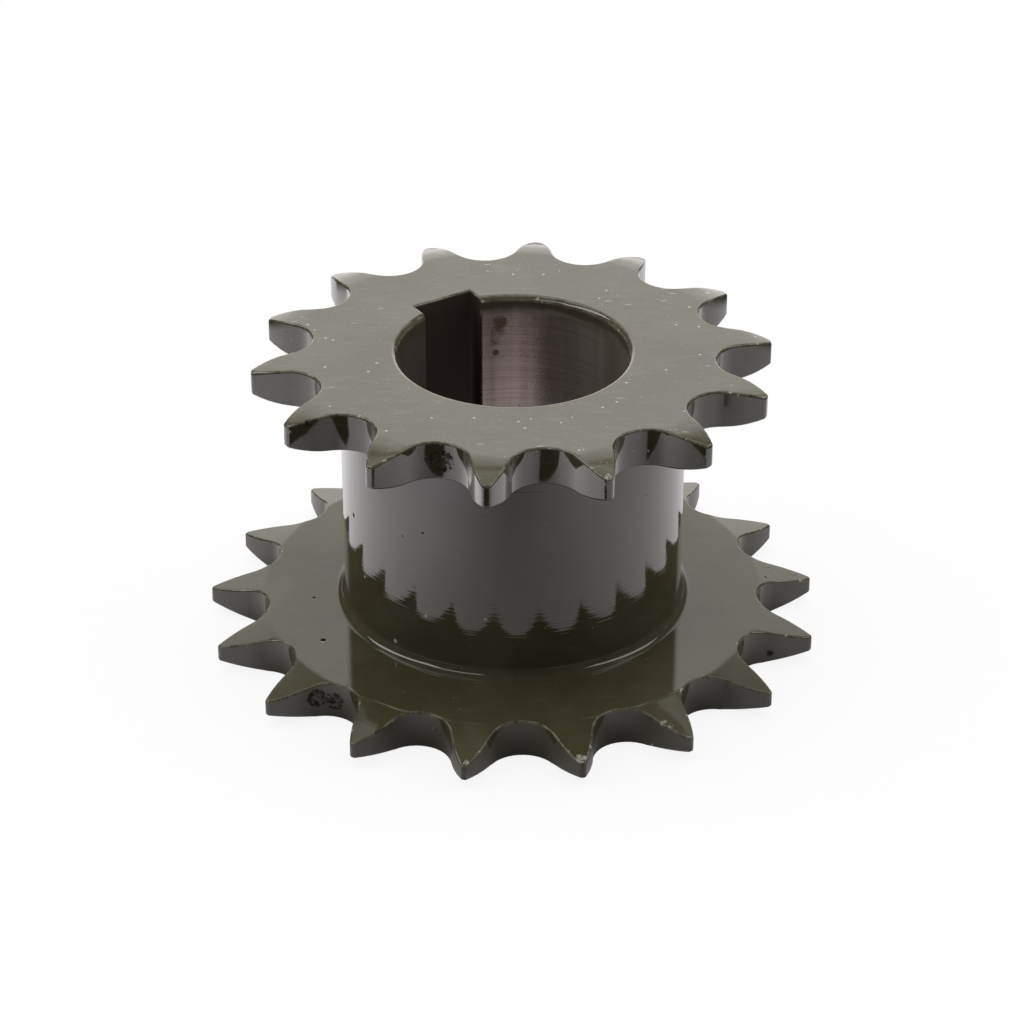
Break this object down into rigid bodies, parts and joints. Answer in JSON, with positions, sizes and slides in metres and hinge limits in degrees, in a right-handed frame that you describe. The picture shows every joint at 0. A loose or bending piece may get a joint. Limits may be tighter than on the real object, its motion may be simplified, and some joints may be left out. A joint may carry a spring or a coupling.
{
  "type": "double chain sprocket",
  "caption": "Double roller-chain sprocket in one piece: a smaller and a larger toothed ring on a plain round hub, painted glossy olive grey, with a bare keyed bore through it.",
  "frame": {"origin": "on the bore's axis, in the plane of the large ring's outer face", "axes": "+Z along the bore from the large ring to the small ring, +Y through the middle of the keyway, +X completes the frame"},
  "size_m": [0.1135, 0.1132, 0.0575],
  "materials": {
    "olive_paint": "gloss"
  },
  "bodies": {
    "root": {"sprocket": "olive_paint"}
  },
  "joints": []
}
